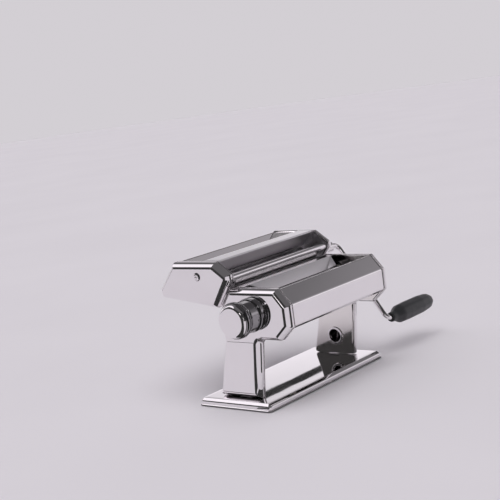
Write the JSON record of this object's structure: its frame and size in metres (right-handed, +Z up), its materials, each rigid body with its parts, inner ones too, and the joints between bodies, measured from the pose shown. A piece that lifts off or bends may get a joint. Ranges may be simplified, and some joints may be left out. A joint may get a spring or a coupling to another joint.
{
  "type": "pasta roller machine",
  "caption": "Hand-cranked pasta roller: chromed frame on a flat base, thickness knob, adjustable smooth rollers, crank with black grip, and a lift-off noodle cutter behind the head.",
  "frame": {"origin": "middle of the whole object's box on the table top, Z = 0 under the rubber feet", "axes": "+X along the rollers from the thickness knob to the crank, +Y from the front cover towards the cutter attachment, +Z up"},
  "size_m": [0.3644, 0.1762, 0.1574],
  "materials": {
    "chrome": "bright polished plating",
    "roller_alloy": "bright plated alloy rollers",
    "brushed_steel": "plain machined or pressed steel",
    "black_plastic": "black, satin moulded",
    "rubber": "dark, matt",
    "white_nylon": "natural, satin"
  },
  "bodies": {
    "frame": {"base_plate": "chrome", "foot_front_left": "rubber", "foot_rear_left": "rubber", "foot_front_right": "rubber", "foot_rear_right": "rubber", "left_frame_plate": "brushed_steel", "right_frame_plate": "brushed_steel", "left_end_cover": "chrome", "right_end_cover": "chrome", "front_cover": "chrome", "rear_cover": "chrome", "mount_stud_left": "brushed_steel", "mount_stud_right": "brushed_steel", "feed_guard": "chrome", "tie_rod_front": "brushed_steel", "tie_rod_rear": "brushed_steel", "front_scraper": "brushed_steel", "rear_scraper": "brushed_steel", "clamp_bush": "chrome", "drive_bush_left": "white_nylon", "drive_bush_right": "white_nylon", "index_pin": "brushed_steel"},
    "drive": {"drive_roller": "roller_alloy", "drive_gear": "brushed_steel"},
    "adjuster": {"adjuster_spindle": "brushed_steel", "spindle_screw": "brushed_steel", "adjuster_spring": "brushed_steel"},
    "knob": {"adjuster_knob": "chrome", "knob_cap": "chrome"},
    "carriage": {"sliding_bush_left": "white_nylon", "sliding_bush_right": "white_nylon"},
    "idler": {"front_roller": "roller_alloy", "front_gear": "brushed_steel"},
    "crank": {"crank_rod": "chrome", "grip_retainer": "brushed_steel"},
    "grip": {"crank_grip": "black_plastic"},
    "cutter_head": {"cutter_left_cap": "chrome", "cutter_right_cap": "chrome", "cutter_left_side_plate": "brushed_steel", "cutter_right_side_plate": "brushed_steel", "cap_screw_left": "brushed_steel", "cap_screw_right": "brushed_steel", "cutter_tie_rod": "brushed_steel", "cutter_front_rod": "chrome", "cutter_bridge": "chrome", "cutter_rear_cover": "chrome", "cutter_mount_plate": "brushed_steel", "fine_comb_front": "brushed_steel", "fine_comb_rear": "brushed_steel", "wide_comb_front": "brushed_steel", "wide_comb_rear": "brushed_steel"},
    "fine_front": {"fine_cutter_front": "roller_alloy", "fine_gear_front": "brushed_steel"},
    "fine_rear": {"fine_cutter_rear": "roller_alloy", "fine_gear_rear": "brushed_steel"},
    "wide_front": {"wide_cutter_front": "roller_alloy", "wide_gear_front": "brushed_steel"},
    "wide_rear": {"wide_cutter_rear": "roller_alloy", "wide_gear_rear": "brushed_steel"}
  },
  "joints": [
    {"name": "drive_turn", "type": "hinge", "parent": "frame", "child": "drive", "pos_m": [-0.04135, -0.01762, 0.1056], "axis": [1, 0, 0], "continuous": true},
    {"name": "thickness_turn", "type": "hinge", "parent": "frame", "child": "adjuster", "pos_m": [-0.04135, -0.05083, 0.1056], "axis": [1, 0, 0], "range_deg": [0, 280]},
    {"name": "knob_pull", "type": "slide", "parent": "adjuster", "child": "knob", "axis": [-1, 0, 0], "range_m": [0, 0.005], "stiffness_N_per_m": 600, "deforming": ["adjuster_spring"]},
    {"name": "roller_gap", "type": "slide", "parent": "frame", "child": "carriage", "axis": [0, 1, 0], "range_m": [0, 0.0021]},
    {"name": "front_roller_turn", "type": "hinge", "parent": "carriage", "child": "idler", "pos_m": [-0.04135, -0.05083, 0.1056], "axis": [1, 0, 0], "continuous": true},
    {"name": "crank_pull", "type": "slide", "parent": "fine_front", "child": "crank", "axis": [1, 0, 0], "range_m": [0, 0.03]},
    {"name": "grip_spin", "type": "hinge", "parent": "crank", "child": "grip", "pos_m": [-0.04135, -0.05822, 0.0419], "axis": [1, 0, 0], "continuous": true},
    {"name": "cutter_lift", "type": "slide", "parent": "frame", "child": "cutter_head", "axis": [0, -0.5771, 0.8167], "range_m": [0, 0.035]},
    {"name": "fine_front_turn", "type": "hinge", "parent": "cutter_head", "child": "fine_front", "pos_m": [-0.04135, 0.00198, 0.132], "axis": [1, 0, 0], "continuous": true},
    {"name": "fine_rear_turn", "type": "hinge", "parent": "cutter_head", "child": "fine_rear", "pos_m": [-0.04135, 0.01792, 0.132], "axis": [1, 0, 0], "continuous": true},
    {"name": "wide_rear_turn", "type": "hinge", "parent": "cutter_head", "child": "wide_rear", "pos_m": [-0.04135, 0.06982, 0.13], "axis": [1, 0, 0], "continuous": true},
    {"name": "wide_front_turn", "type": "hinge", "parent": "cutter_head", "child": "wide_front", "pos_m": [-0.04135, 0.05387, 0.13], "axis": [1, 0, 0], "continuous": true}
  ],
  "couplings": [
    {"joint": "roller_gap", "follows": "thickness_turn", "m_per_rad": 0.00042971},
    {"joint": "front_roller_turn", "follows": "drive_turn", "ratio": -1},
    {"joint": "fine_rear_turn", "follows": "fine_front_turn", "ratio": -1},
    {"joint": "wide_front_turn", "follows": "wide_rear_turn", "ratio": -1}
  ]
}
